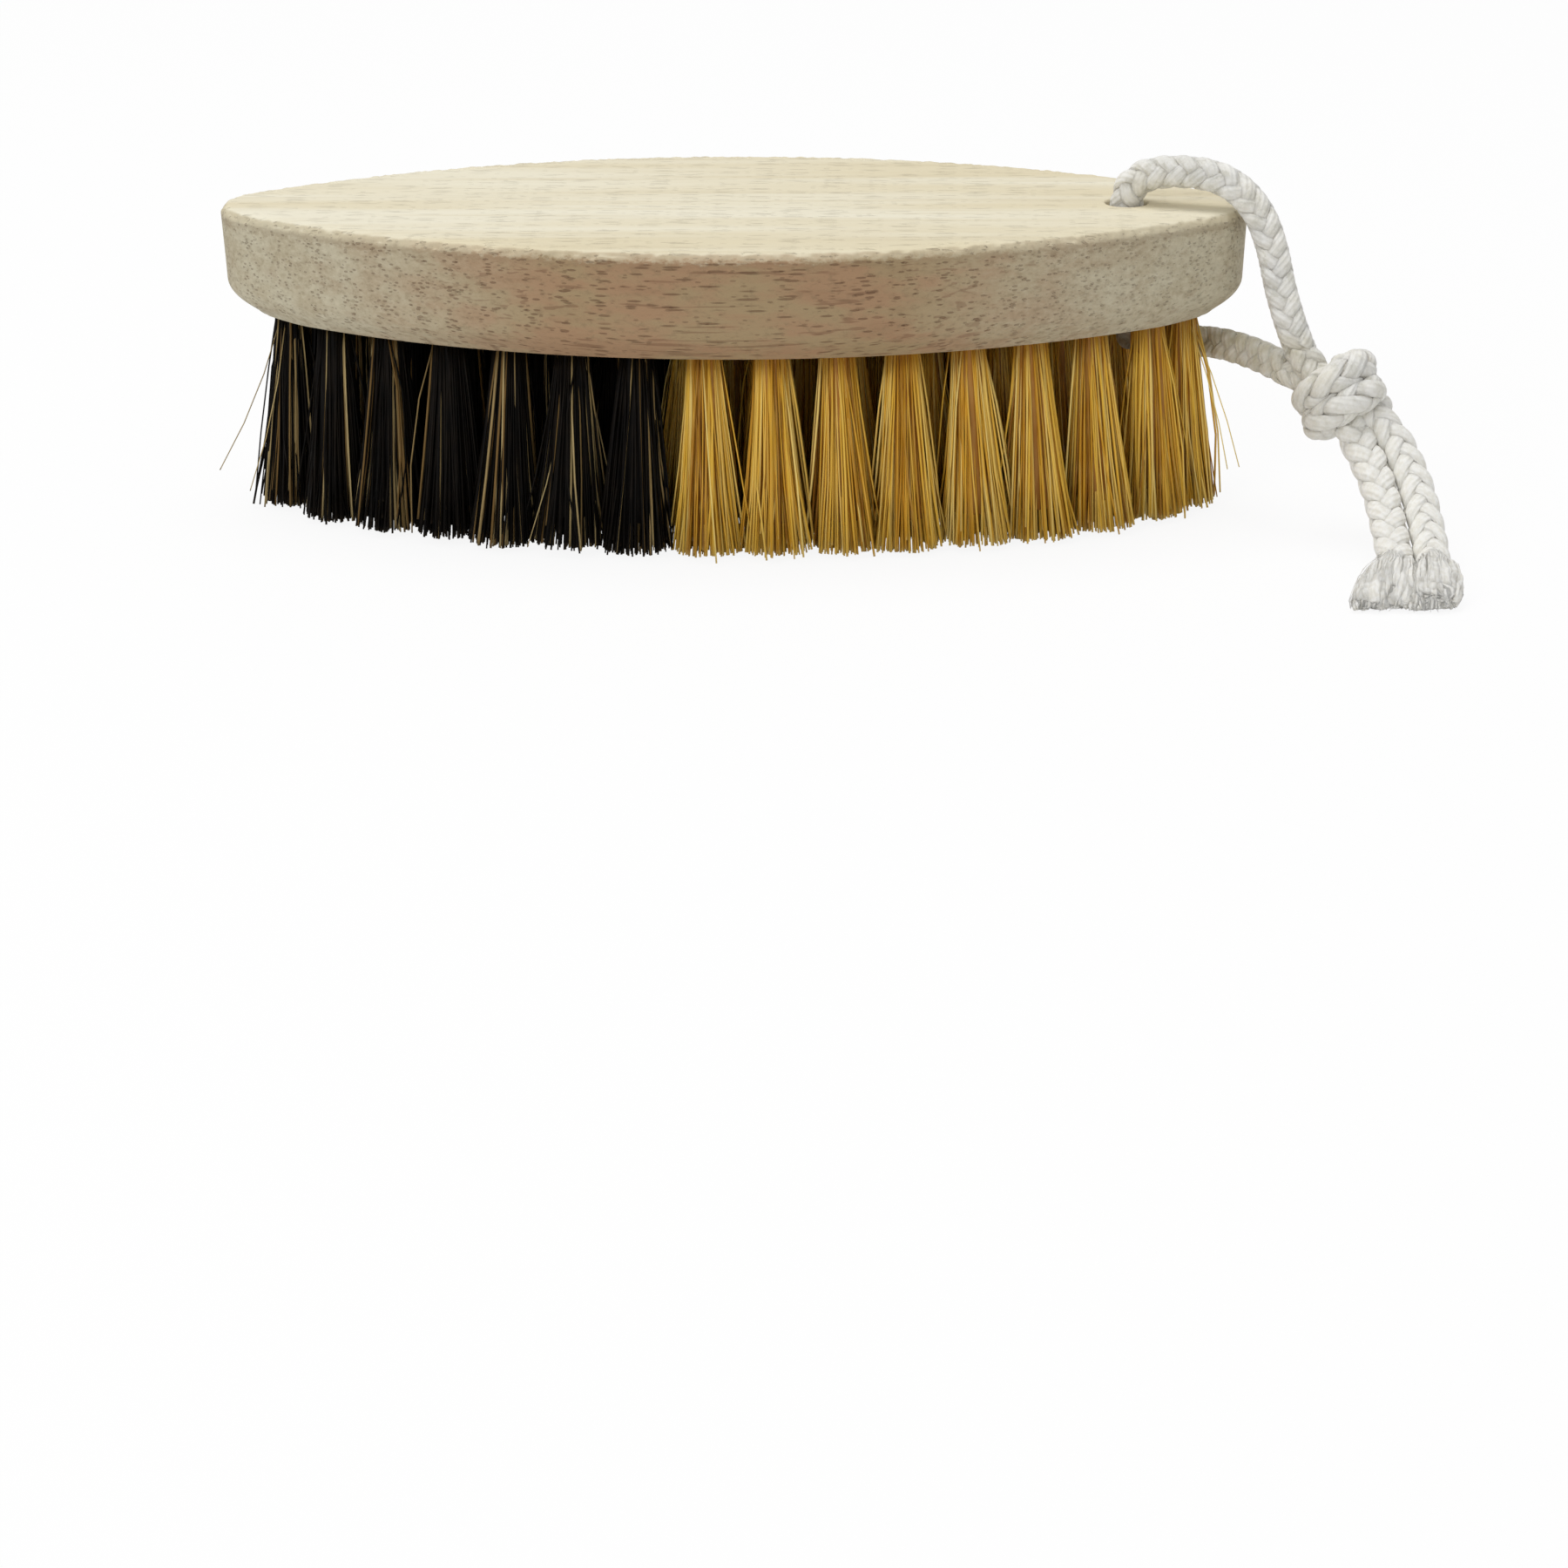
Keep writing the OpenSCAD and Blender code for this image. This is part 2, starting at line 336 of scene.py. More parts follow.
# Under the block the cord is painted a darker tan: partly dust from the fibre, partly painted shade under the block.
under_block = cotton.ramp(cotton.axis("Z"), 0.0262, 0.0272, 1.0, 0.0) * cotton.ramp(
    cotton.axis("X"), 0.066, 0.081, 1.0, 0.0
)
dust_and_under_shade = under_block * (cotton.noise((420, 420, 420), 2.0) * 1.3 - 0.2)
cotton.drive("Base Color", cotton.mix(dust_and_under_shade, cotton_tone, colour(164, 152, 108)))
cotton.bump(yarns * 0.7 + lint * 0.6, 0.12 * MM)
print("cotton nodes", len(cotton.tree.nodes))

# %% [markdown]
# ## The plait
# The cord is plaited from eight strands, four wound each way. Each strand passes over two others and under two, so
# that four columns of slanting lobes run along the cord and each pair of columns makes a row of V shapes. A strand is
# a flat bundle of yarns. Its distance from the cord's middle rises and falls in step with the weave. The tails hang
# slack, so there the weave is longer and stands out more than in the loop, which is pulled tight.

# %% The plait
CORD_D = 4.4
PLAIT_LEAD, TAIL_LEAD = 10.6, 13.6
SOFT_SWING, TAIL_SWING = 0.11, 0.16
PLAIT_MIDDLE = 0.58
PLAIT_STEP, PLAIT_SIDES = 0.34, 12
STRAND_WIDE, STRAND_THICK = 0.46, 0.31


def plait(points, diameter, first, turn=0.0, lead=PLAIT_LEAD, swing=SOFT_SWING):
    """Points, faces and attributes of a plaited cord along a route, and the route's smooth line."""
    line, run = smooth_line(points, PLAIT_STEP)
    one, two = side_ways(line, first)
    r = diameter / 2
    middle = PLAIT_MIDDLE + (TAIL_SWING - swing) * 0.5
    beat = 8 * run / lead
    phase = np.linspace(0, 2 * np.pi, PLAIT_SIDES, endpoint=False)
    wall = wall_faces(len(line), PLAIT_SIDES)
    last = (len(line) - 1) * PLAIT_SIDES
    made, faces, rounds, alongs, rises = [], [], [], [], []
    for number in range(8):
        way, k = (1, number) if number < 4 else (-1, number - 4)
        angle = way * 2 * np.pi * run / lead + k * np.pi / 2 + turn
        over = np.cos(np.pi / 2 * (beat + way * 2 * k + (-0.5 if way == 1 else 2.5)))
        out = np.cos(angle)[:, None] * one + np.sin(angle)[:, None] * two
        centre = line + out * (r * (middle + swing * over))[:, None]
        heading = np.gradient(centre, axis=0)
        heading /= np.linalg.norm(heading, axis=1)[:, None]
        aside = np.cross(heading, out)
        aside /= np.linalg.norm(aside, axis=1)[:, None]
        raised = np.cross(aside, heading)
        wide = r * STRAND_WIDE * (1 + 0.1 * over)
        ring = (
            centre[:, None]
            + aside[:, None] * (wide[:, None] * np.cos(phase))[..., None]
            + raised[:, None] * (r * STRAND_THICK * np.sin(phase))[None, :, None]
        )
        count = number * len(line) * PLAIT_SIDES
        made.append(ring.reshape(-1, 3))
        faces += (wall + count).tolist()
        faces += [[count + j for j in reversed(range(PLAIT_SIDES))], [count + last + j for j in range(PLAIT_SIDES)]]
        rounds.append(np.tile(phase / (2 * np.pi), len(line)))
        alongs.append(np.repeat(run * MM, PLAIT_SIDES))
        rises.append(((0.5 + 0.5 * over)[:, None] * 0.6 + 0.4 * (0.5 + 0.5 * np.sin(phase))[None]).ravel())
    data = {"round": np.concatenate(rounds), "along": np.concatenate(alongs), "rise": np.concatenate(rises)}
    return np.vstack(made), faces, data, line


# %% [markdown]
# ## The cord's loop
# The loop leaves the knot, goes over the block's end, down through the hole and back to the knot. The photograph
# shows the whole of it, so that is its length. A simulation could drape it, but it would not stop where the
# photograph does, so it follows the route that the CAD source has.

# %% The cord's loop
LOOP_ROUTE = [
    (74, -11.5, 24.3), (72.6, -10.3, 28), (71.4, -9, 32), (70.4, -7.6, 36.4), (69, -6.4, 40.2), (67, -5.3, 42.9),
    (64.6, -4.3, 44.6), (62, -3.4, 45.4), (59, -2.4, 45.6), (56.2, -1.4, 45.3), (53.6, -0.5, 44.4), (52, -0.1, 42.6),
    (51.7, 0, 40), (51.7, 0, 28), (51.8, 0, 25.4), (52.6, 0.9, 23.2), (54.6, 2.6, 21.9), (57, 4, 21.2),
    (59.6, 4.8, 21), (62.2, 4.6, 21), (64.8, 3, 21.1), (67.6, -0.6, 21.2), (70.3, -4.8, 21.1), (72.9, -9, 20.7),
]
HOLE_MOUTH = (51.7, 0, 26.5)
FLOOR_GAP = 0.02


def cord_piece(name, route, node, first, turn=0.0, diameter=CORD_D, lead=PLAIT_LEAD, swing=SOFT_SWING):
    """A length of plaited cord in place of a CAD node. Returns the piece, its smooth line and its length."""
    points, faces, data, line = plait(route, diameter, first, turn, lead, swing)
    points[:, 2] = np.maximum(points[:, 2], FLOOR_GAP)
    piece = make_piece(name, points * MM, faces, cotton.material, data)
    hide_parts(node)
    length = float(np.linalg.norm(np.diff(line, axis=0), axis=1).sum())
    print(name, "is", round(length, 1), "mm long")
    return piece, line, length


loop, loop_line, loop_length = cord_piece("plaited_loop", LOOP_ROUTE, "cord_loop", (0, 1, 0), 0.4)

# %% [markdown]
# ## The knot
# Both legs of the loop are tied together in one overhand knot. What shows is a pair of cords wound once round the
# bundle, pulled tight, with the legs going in above and the tails coming out below. Each turn is a plaited cord on a
# coil whose two ends dive back into the bundle. A real knot's path could be traced through its middle, but nothing
# in the photograph shows it.

# %% The knot
KNOT_AT = np.array([79.3, -13, 18.6])
KNOT_AXIS = np.array([0.42, -0.34, -0.84])
KNOT_AXIS /= np.linalg.norm(KNOT_AXIS)
KNOT_ACROSS = np.cross(KNOT_AXIS, [0, 1, 0.35])
KNOT_ACROSS /= np.linalg.norm(KNOT_ACROSS)
KNOT_OUT = np.cross(KNOT_AXIS, KNOT_ACROSS)
TURN_SWEEP, TURN_DIVE = 400, 2.0


def knot_turn(middle, reach, start, climb):
    """A turn of the knot: a coil round the knot's axis, from start degrees, whose ends bend in towards the axis."""
    points = []
    for s in np.linspace(0, 1, 15):
        a = math.radians(start + TURN_SWEEP * s)
        end = max(0.0, abs(s - 0.5) * 2 - 0.72) / 0.28
        r = reach - TURN_DIVE * end * end
        lift = middle + climb * (s - 0.5)
        points.append(KNOT_AT + KNOT_AXIS * lift + r * (math.cos(a) * KNOT_ACROSS + math.sin(a) * KNOT_OUT))
    return points


knot_points, knot_faces, knot_data = gather([
    plait(knot_turn(-1.3, 3.8, -60, 2.6), 4.9, KNOT_AXIS, 0.3, TAIL_LEAD),
    plait(knot_turn(2.1, 3.9, -40, 2.4), 4.8, KNOT_AXIS, 1.1, TAIL_LEAD),
    plait([(74, -11.5, 24.3), (75.4, -12, 22.2), (77, -12.6, 20.2), (78.6, -13, 18.6)], CORD_D, (0, 1, 0)),
    plait([(72.9, -9, 20.7), (74.6, -10.6, 20.2), (76.4, -12, 19.4), (78.4, -13, 18.4)], CORD_D, (0, 1, 0)),
    plait([(80.5, -14.5, 16), (81.1, -16, 14.6), (81.6, -17.6, 13.2)], CORD_D, (1, 0, 0)),
    plait([(82.5, -13.8, 17.2), (84.4, -15.4, 15.4), (86, -17.2, 13.6)], CORD_D, (1, 0, 0)),
])
knot = make_piece("overhand_knot", knot_points * MM, knot_faces, cotton.material, knot_data)
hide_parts("cord_knot")
loop_length * MM
loop_line * MM

# %% [markdown]
# ## The tails
# The two ends of the cord come out of the knot and reach down to the surface, side by side, towards the camera. They
# are slack and a little fatter than the loop. Each starts inside the knot, so that no gap shows where it comes out.

# %% The tails
TAIL_D = 4.8
LEFT_ROUTE = [
    (79.2, -12.6, 18.2), (80.2, -14.6, 16), (81.6, -17.6, 13.2), (82.9, -20.6, 11), (83.9, -24, 8.6),
    (84.5, -27.6, 6.3), (84.9, -31.4, 4.3), (85.1, -35.4, 2.8), (85.1, -39.5, 2.2),
]
RIGHT_ROUTE = [
    (80.6, -12.8, 18.6), (83.4, -14.8, 16.2), (86, -17.2, 13.6), (87.4, -20, 11.4), (88.5, -23.4, 9),
    (89.2, -27.2, 6.5), (89.6, -31.2, 4.4), (89.7, -35.4, 2.8), (89.7, -39.6, 2.2),
]
tails = [
    cord_piece(name, route, node, (1, 0, 0), turn, TAIL_D, TAIL_LEAD, TAIL_SWING)
    for name, route, node, turn in (
        ("plaited_tail_left", LEFT_ROUTE, "cord_tail_left", 0.4),
        ("plaited_tail_right", RIGHT_ROUTE, "cord_tail_right", 1.9),
    )
]

# %% [markdown]
# ## Frayed ends
# The last few millimetres of each tail have come unplaited into a soft brush of yarns. They stick together in
# bundles, fan out, and droop to the surface. Particle hair would do this, but it isn't a mesh and can't be exported,
# so each yarn is a tube on a curve through five control points. Thick yarns fill the middle, thinner ones cover them,
# and a few threads of lint stand off.

# %% Frayed ends
# Each layer's number of yarns, their radius, their least and most reach as a share, rings along and sides round.
YARN_LAYERS = ((26, 0.95, 0.0, 0.75, 20, 12), (120, 0.36, 0.84, 1.0, 20, 8), (50, 0.045, 0.8, 1.2, 10, 3))
BUNDLES = 13
FRAY_LONG = 9


def yarn_swell(t):
    """A yarn's thickness along it, which grows a little and ends round."""
    return (0.8 + 0.3 * t) * np.sqrt(np.clip(1 - (np.clip(t - 0.86, 0, 1) / 0.15) ** 2, 0.03, 1))


def fray(end, lean, wide, tuck, seed):
    """The unplaited end of a tail. It leans along X, spreads wide, and its right side is tucked in and lifted."""
    rng = np.random.default_rng(seed)
    bundles = rng.uniform(0, 2 * np.pi, BUNDLES)
    parts = []
    for count, thick, least, most, rings, sides in YARN_LAYERS:
        turn = 0.6 * bundles[rng.integers(0, BUNDLES, count)] + 0.4 * rng.uniform(0, 2 * np.pi, count)
        turn += rng.normal(0, 0.2, count)
        out = rng.uniform(least, most, count)
        x, z = out * np.cos(turn), out * np.sin(turn)
        one, curl = np.ones(count), tuck * np.maximum(x, 0)
        up = (1 + z) / 2
        stray_x, stray_y = rng.normal(0, 0.3, count), rng.normal(0, 0.3, count)
        corner = [
            (1.5 * x, 3.4 * one, 0.8 + 3.3 * up),
            (2.4 * x, 1.0 * one, 0.2 + 5.5 * up),
            ((wide - 0.6) * x + 0.5 * lean, -1.8 * one, 7.0 * up),
            ((wide + 0.3) * x + 0.9 * lean, curl - 5.8 * one, 4.3 * up + curl),
            ((wide - 0.2) * x + lean - curl + stray_x, curl - 6.6 + stray_y, 0.6 * up),
        ]
        t = np.linspace(0, 1, rings)
        line = np.zeros((count, rings, 3))
        for k, (at_x, at_y, at_z) in enumerate(corner):
            weight = math.comb(4, k) * t**k * (1 - t) ** (4 - k)
            line += weight[None, :, None] * np.column_stack([end[0] + at_x, end[1] + at_y, at_z])[:, None]
        line[..., 2] = np.maximum(line[..., 2], thick + 0.04)
        points, faces, along, _ = tubes(line, thick * rng.uniform(0.8, 1.15, count), yarn_swell, sides)
        points += [
            noise.noise_vector(Vector(p) * 0.8) * 0.35 + noise.noise_vector(Vector(p) * 2.6) * 0.1 for p in points
        ]
        points[:, 2] = np.maximum(points[:, 2], FLOOR_GAP)
        around = np.tile(np.tile(np.arange(sides) / sides, rings), count) * thick
        data = {"round": around, "along": along * FRAY_LONG * MM, "rise": np.full(len(points), 0.9)}
        parts.append((points, faces.tolist(), data))
    return parts


fray_points, fray_faces, fray_data = gather(
    fray(LEFT_ROUTE[-1], -2.4, 3.9, 0.0, 5) + fray(RIGHT_ROUTE[-1], -0.2, 3.5, 1.2, 6)
)
frayed = make_piece("frayed_ends", fray_points * MM, fray_faces, cotton.material, fray_data)
for (piece, line, length), ends in zip(tails, ([frayed], [])):
    line[0] * MM
    length * MM
    line * MM

# %% [markdown]
# ## Grain and pores
# The block is a pale, even hardwood. Its pores are short channels that run along the grain, so they show as dashes on
# the long sides and as dots round the ends. One three-dimensional pattern, stretched along X, gives both. A picture
# wrapped round the block would need a seam and would not turn from dashes into dots.

# %% Grain and pores
wood = Paint("pale_wood", Roughness=0.72, Specular_IOR_Level=0.25)
facing = wood.node("ShaderNodeSeparateXYZ", None, {0: wood.node("ShaderNodeNewGeometry", out="Normal")}, "Z")
height, length_way = wood.axis("Z"), wood.axis("X")
on_top = wood.ramp(facing, 0.55, 0.95)
on_side = 1 - on_top
underneath = wood.ramp(facing, -0.99, -0.92, 1.0, 0.0)
toward_ends = wood.ramp(length_way.size(), 0.018, 0.06)
streaks = wood.noise((14, 520, 520), 3.0, 0.6)
bands = wood.noise((9, 110, 60), 2.0, 0.5, (3.1, 0, 0))
clouds = wood.noise((80, 240, 260), 3.0, 0.6, (0, 7.3, 0))
mottle = wood.noise((800, 1500, 1500), 4.0, 0.7, (0, 0, 4.4))
fine = wood.noise((500, 3000, 3000), 2.0, 0.6)
thin_lines = wood.ramp(wood.noise((42, 1500, 1500), 1.5, 0.5, (0, 2.2, 6.1)), 0.61, 0.67)
underside_grain = wood.noise((7, 700, 400), 2.0, 0.6, (1.7, 0, 0))
growth = ((length_way * 0.45 + height + clouds * 0.004) * 2600).sine() * 0.5 + 0.5


def pore_layer(scale, thin, share):
    """Dark dashes, one in some cells of a stretched grid of random cells."""
    close = wood.ramp(wood.cells(scale), thin, thin * 2, 1.0, 0.0)
    chosen = wood.node("ShaderNodeSeparateColor", None, {0: wood.cells(scale, "Color")}, 0)
    return close * wood.ramp(chosen, 1 - share, 1.02 - share)


pore = pore_layer((210, 2500, 2500), 0.19, 0.42) + pore_layer((650, 2600, 2600), 0.15, 0.35) * 0.6
pore_share = 0.62 - toward_ends * 0.26 - wood.ramp(length_way, 0.02, 0.05) * 0.2
wood.bump(fine * 0.4 + streaks * 0.4 + mottle * 0.5 - pore * 1.2, 0.14 * MM, 0.8)
print("wood pattern nodes", len(wood.tree.nodes))

# %% [markdown]
# ## Wood tones
# The top has been sanded and is nearly cream. The sides are rougher, browner in the middle of the block, where the
# cut runs with the grain and leaves thin rusty lines, and greyer towards the ends. The underside is warm, with long
# grain. Along the upper edge wear has left a pale band, and a little shade is painted just below it, both as ragged
# as the wood.

# %% Wood tones
top_tone = wood.mix(wood.ramp(bands, 0.35, 0.7), colour(232, 226, 205), colour(222, 211, 181))
top_tone = wood.mix(wood.ramp(streaks, 0.45, 0.8) * 0.5, top_tone, colour(206, 192, 158))

side_brown = wood.mix(wood.ramp(clouds, 0.38, 0.6), colour(164, 132, 101), colour(162, 140, 106))
side_pale = wood.mix(wood.ramp(clouds, 0.35, 0.65), colour(180, 169, 143), colour(192, 184, 160))
side_tone = wood.mix(toward_ends, side_brown, side_pale)
side_tone = wood.mix(wood.ramp(streaks, 0.5, 0.8) * 0.3, side_tone, colour(138, 106, 78))
side_tone = wood.mix(growth * toward_ends * 0.12, side_tone, colour(206, 198, 172))
side_tone = wood.mix(wood.ramp(mottle, 0.5, 0.68) * 0.34, side_tone, colour(122, 104, 78))
side_tone = wood.mix(wood.ramp(mottle, 0.5, 0.34) * 0.22 * toward_ends, side_tone, colour(222, 214, 190))
side_tone = wood.mix(thin_lines * (1 - toward_ends) * 0.45, side_tone, colour(112, 80, 58))

under_tone = wood.mix(wood.ramp(underside_grain, 0.4, 0.6), colour(226, 198, 146), colour(206, 172, 118))
under_tone = wood.mix(wood.ramp(underside_grain, 0.64, 0.7) * 0.6, under_tone, colour(146, 102, 60))

ragged = height + (mottle - 0.5) * 0.0026
worn = wood.ramp(ragged, 0.0395, 0.0404) * on_side
# Painted shade: a thin ragged band just below the worn edge is drawn darker.
shaded = wood.ramp(ragged, 0.0385, 0.0395) * (1 - wood.ramp(ragged, 0.0395, 0.0401)) * on_side

wood_tone = wood.mix(underneath, wood.mix(on_top, side_tone, top_tone), under_tone)
wood_tone = wood.mix(pore * (1 - on_top * 0.85) * pore_share, wood_tone, colour(112, 82, 58))
# Painted shade below the worn edge.
wood_tone = wood.mix(shaded * 0.22, wood_tone, colour(128, 104, 78))
wood_tone = wood.mix(worn * 0.55, wood_tone, colour(216, 205, 176))
wood.drive("Base Color", wood_tone)
print("wood nodes", len(wood.tree.nodes))

# %% [markdown]
# ## The block's outline and its tufts
# Seen from above the block is an oval of two long arcs and two small nose arcs. The tufts stand in five rows: one
# along each edge, one beside the middle on either side and one in the middle. One more stands at each nose. The same
# sums as in the CAD source give every hole's place, so the finer model fits it.

# %% The block's outline and its tufts
NOSE_X, NOSE_R, SIDE_C, SIDE_R = 58.5, 9.0, 78.0, 106.5
EDGE_R, EDGE_Y, INNER_R, INNER_Y = 113.6, 19.8, 130.0, 10.0
RIM_STEPS = 760
SPLIT_X = -7.5


def oval(steps):
    """Points on the block's outline and the outward direction at each, evenly spaced."""
    half = math.atan2(NOSE_X, SIDE_C)
    arcs = [
        (NOSE_X, 0, NOSE_R, -(math.pi / 2 - half), math.pi / 2 - half),
        (0, -SIDE_C, SIDE_R, math.pi / 2 - half, math.pi / 2 + half),
        (-NOSE_X, 0, NOSE_R, math.pi / 2 + half, 3 * math.pi / 2 - half),
        (0, SIDE_C, SIDE_R, 3 * math.pi / 2 - half, 3 * math.pi / 2 + half),
    ]
    runs = [r * (b - a) for _, _, r, a, b in arcs]
    points, outs = [], []
    for s in np.arange(steps) / steps * sum(runs):
        i = 0
        while s > runs[i]:
            s -= runs[i]
            i += 1
        x, y, r, a, _ = arcs[i]
        out = (math.cos(a + s / r), math.sin(a + s / r))
        points.append((x + r * out[0], y + r * out[1]))
        outs.append(out)
    return np.array(points), np.array(outs)


def along_edge(first, last, count):
    """Places along X that are evenly spaced on the edge rows' arc."""
    return EDGE_R * np.sin(np.linspace(math.asin(first / EDGE_R), math.asin(last / EDGE_R), count))


def arc_y(x, y, r):
    """How far from the middle an arc of radius r is at x, when it is y from it at the block's middle."""
    return y - r + math.sqrt(r * r - x * x)


def tuft_places():
    """Where each tuft's hole is."""
    places = [(x, -arc_y(x, EDGE_Y, EDGE_R)) for x in along_edge(-52.2, 54.5, 14)]
    places += [(x, arc_y(x, EDGE_Y, EDGE_R)) for x in along_edge(-55.4, 50, 12)]
    places += [(-58.8, 0), (58.9, -0.6)]
    places += [(x, side * arc_y(x, INNER_Y, INNER_R)) for side in (-1, 1) for x in np.linspace(-35, 35, 8)]
    places += [(x, 0) for x in (-50.2, -42.5, -29.5, -20, -10, 0, 10, 20, 29.5, 42.5)]
    return [(float(x), float(y)) for x, y in places]


PLACES = tuft_places()
pale_places = [p for p in PLACES if p[0] > SPLIT_X]
dark_places = [p for p in PLACES if p[0] <= SPLIT_X]
rim, rim_out = oval(RIM_STEPS)
print(len(pale_places), "pale tufts,", len(dark_places), "dark tufts")

# %% [markdown]
# ## The block's rings
# The CAD block is exact but perfectly clean. The real one has a bevel with a soft corner, which is wider at the two
# noses, and an upper edge that wear has made soft and ragged. So a finer block takes its place, built in rings from
# the lower face round the bevel and up the side. A bevel modifier would round every edge alike.

# %% The block's rings
TRIM, THICK = 26.5, 14.5
TOP = TRIM + THICK
TOP_ROUND, BEVEL_IN, BEVEL_TOP, TAPER = 1.2, 3.2, 4.6, 0.42
WORN_AT, WORN_WIDE = 13.9, 0.75
NOSE_BEVEL = 0.55


def bend(start, corner, end, s):
    """A point on the curve from start to end that is drawn towards corner."""
    return tuple(a * (1 - s) ** 2 + 2 * b * s * (1 - s) + c * s * s for a, b, c in zip(start, corner, end))


def rim_ring(inset, z):
    """The oval drawn in by inset at height z, with the wear of the upper edge."""
    edge = math.exp(-(((z - WORN_AT) / WORN_WIDE) ** 2)) if inset < 1.6 else 0.0
    ring = []
    for (x, y), (out_x, out_y) in zip(rim, rim_out):
        spot = Vector((x, y, z))
        rough = noise.noise(spot * 1.3) * 0.26 + noise.noise(spot * 0.5) * 0.14 - 0.14
        soft = noise.noise(spot * 0.09) * 0.07 if 0.2 < z < 14 else 0.0
        at_nose = min(1.0, max(0.0, (abs(x) - 57) / 8)) ** 1.5
        blunt = NOSE_BEVEL * max(0.0, inset - TAPER) * (z < BEVEL_TOP) * at_nose
        d = edge * rough + soft - inset - blunt
        ring.append((x + out_x * d, y + out_y * d, TRIM + z + edge * min(0.0, rough) * 0.8))
    return ring


profile = [(BEVEL_IN, 0.0), (3.12, 0.05), (2.98, 0.2)]
profile += [(BEVEL_IN - 0.9 * z, z) for z in (0.5, 0.9, 1.3)]
profile += [bend((2.03, 1.3), (0.5, 3.0), (TAPER, BEVEL_TOP), s) for s in np.linspace(0.12, 1, 8)]
profile += [(TAPER * (1 - s), BEVEL_TOP + 8.7 * s) for s in np.linspace(0.08, 1, 12)]
profile += [
    (TOP_ROUND * (1 - math.cos(a)), THICK - TOP_ROUND * (1 - math.sin(a))) for a in np.linspace(0.18, math.pi / 2, 8)
]
profile += [(1.7, THICK), (2.4, THICK)]
rings = [rim_ring(inset, z) for inset, z in profile]
print("rings", len(rings), "of", RIM_STEPS, "points")

# %% [markdown]
# ## The block
# The rings become the block's side. Its flat faces are filled in round the drilled holes, whose mouths show round
# each tuft, and round the cord's hole, whose rims are softened. Cutting the holes with booleans would leave long thin
# faces, which the smooth side shows as creases.

# %% The block
MOUTH_R, BORE_R, BORE_SIDES = 2.2, 2.12, 28
CORD_HOLE_R, CORD_HOLE_SIDES = 2.7, 40

bm = bmesh.new()


def circle(x, y, r, z, steps):
    turns = [2 * math.pi * k / steps for k in range(steps)]
    return [bm.verts.new((x + r * math.cos(a), y + r * math.sin(a), z)) for a in turns]


def band(low, high):
    """Smooth faces between two rings of points."""
    for i in range(len(low)):
        j = (i + 1) % len(low)
        bm.faces.new((low[i], low[j], high[j], high[i])).smooth = True


def fill(outer, holes):
    """A flat face with holes in it."""
    edges = []
    for ring in [outer, *holes]:
        for a, b in zip(ring, ring[1:] + ring[:1]):
            edges.append(bm.edges.get((a, b)) or bm.edges.new((a, b)))
    bmesh.ops.triangle_fill(bm, use_beauty=True, edges=edges)


loops = [[bm.verts.new(p) for p in ring] for ring in rings]
for lower, upper in zip(loops, loops[1:]):
    band(lower, upper)
mouths = [circle(x, y, MOUTH_R, TRIM, BORE_SIDES) for x, y in PLACES]
for (x, y), mouth in zip(PLACES, mouths):
    inner = circle(x, y, BORE_R, TRIM + 0.12, BORE_SIDES)
    band(inner, mouth)
    band(circle(x, y, BORE_R, TRIM + 2.6, BORE_SIDES), inner)
cord_rings = [
    circle(*HOLE_MOUTH[:2], r, z, CORD_HOLE_SIDES)
    for r, z in ((2.95, TRIM), (CORD_HOLE_R, TRIM + 0.3), (CORD_HOLE_R, TOP - 0.35), (2.98, TOP))
]
for lower, upper in zip(cord_rings, cord_rings[1:]):
    band(upper, lower)
fill(loops[0], [*mouths, cord_rings[0]])
fill(loops[-1], [cord_rings[-1]])
bmesh.ops.recalc_face_normals(bm, faces=bm.faces)
bmesh.ops.scale(bm, vec=(MM, MM, MM), verts=bm.verts)
block_mesh = bpy.data.meshes.new("worn_block")
bm.to_mesh(block_mesh)
bm.free()
block = add_piece("worn_block", block_mesh, wood.material)
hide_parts("wood_block")

# %% [markdown]
# ## Fibre
# Pale fibre is golden with light straws and brown ones among it, a little glossy, and paler where its tips are cut.
# Dark fibre is nearly black, and about one fibre in seven of it is tan. Both are painted darker towards the root, as
# shade. Each fibre carries its own number from 0 to 1, which picks its colour, so that one material serves a whole
# tuft.

# %% Fibre
def fibre_paint(name, stops, cut, root, rough, shine):
    """A fibre material from colour stops, the colour of its cut tip, the painted shade at its root, and its gloss."""
    paint = Paint(name, Roughness=rough, Specular_IOR_Level=shine)
    kind, along = paint.carried("kind"), paint.carried("along")
    flecks = paint.noise((900, 900, 260), 2.0)
    tone = stops[0][1]
    for (low, _), (high, shade) in zip(stops, stops[1:]):
        tone = paint.mix(paint.ramp(kind, low, high), tone, shade)
    tone = paint.mix(paint.ramp(flecks, 0.35, 0.7) * 0.15, tone, cut)
    # Painted shade: towards the root, under the block and deep in the tuft, each fibre is drawn darker.
    tone = paint.mix(paint.ramp(along, 0.0, 0.28, 0.5, 0.0), tone, root)
    tone = paint.mix(paint.ramp(along, 0.97, 1.0) * 0.5, tone, cut)
    paint.drive("Base Color", tone)
    paint.bump(flecks, 0.06 * MM, 0.5)
    print(name, "nodes", len(paint.tree.nodes))
    return paint


